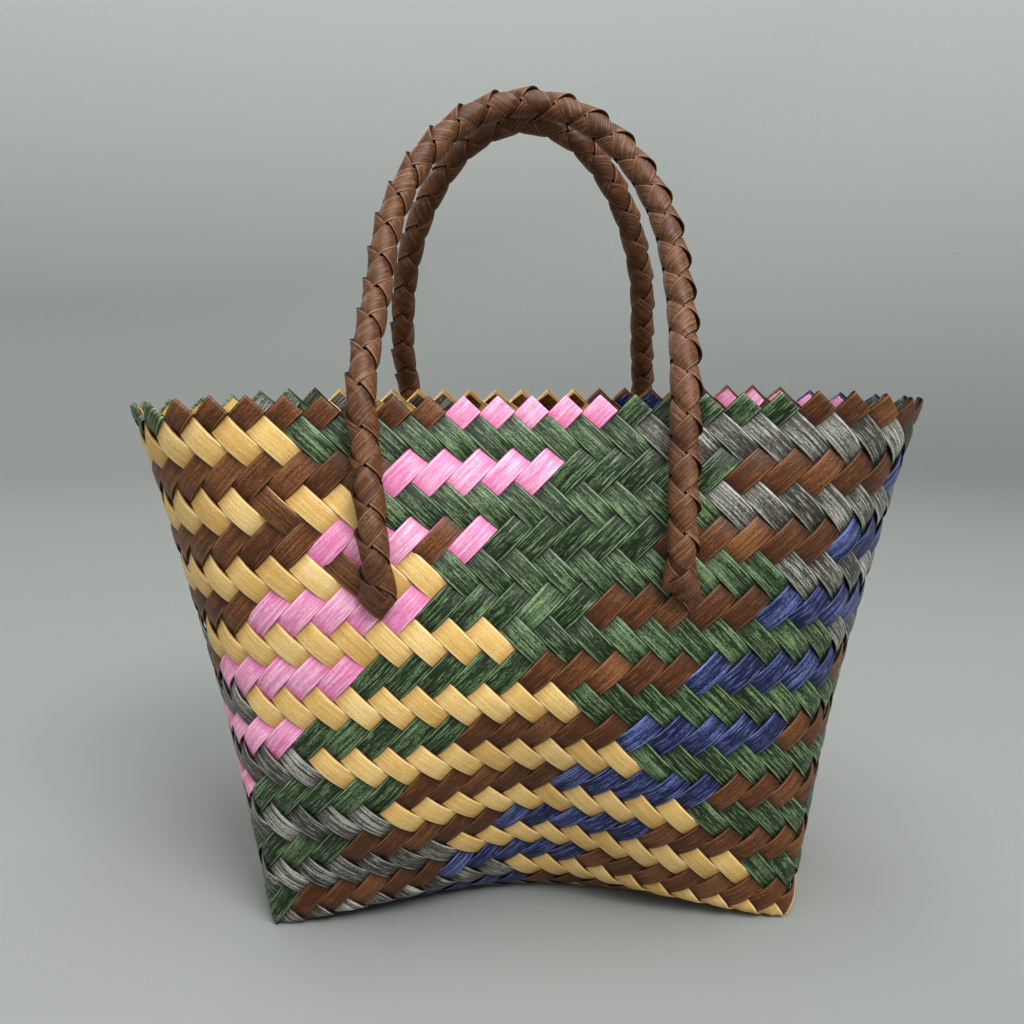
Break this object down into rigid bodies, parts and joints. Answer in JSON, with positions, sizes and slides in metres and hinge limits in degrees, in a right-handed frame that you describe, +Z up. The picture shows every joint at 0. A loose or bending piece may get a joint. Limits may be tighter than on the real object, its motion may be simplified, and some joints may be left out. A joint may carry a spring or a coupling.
{
  "type": "woven handbag",
  "caption": "Small open-top handbag plaited on the diagonal from flat coloured strips, with a zigzag rim, pointed base corners and braided carrying handles.",
  "frame": {"origin": "middle of the base, on the surface the bag stands on", "axes": "+Z up, +X along the rim to the right of the front, -Y out of the front"},
  "size_m": [0.2588, 0.1352, 0.2631],
  "materials": {
    "woven_strips": "satin streaked flat strips",
    "braided_handle": "satin brown braid"
  },
  "bodies": {
    "root": {"woven_body": "woven_strips", "handle_front": "braided_handle", "handle_back": "braided_handle"}
  },
  "joints": []
}
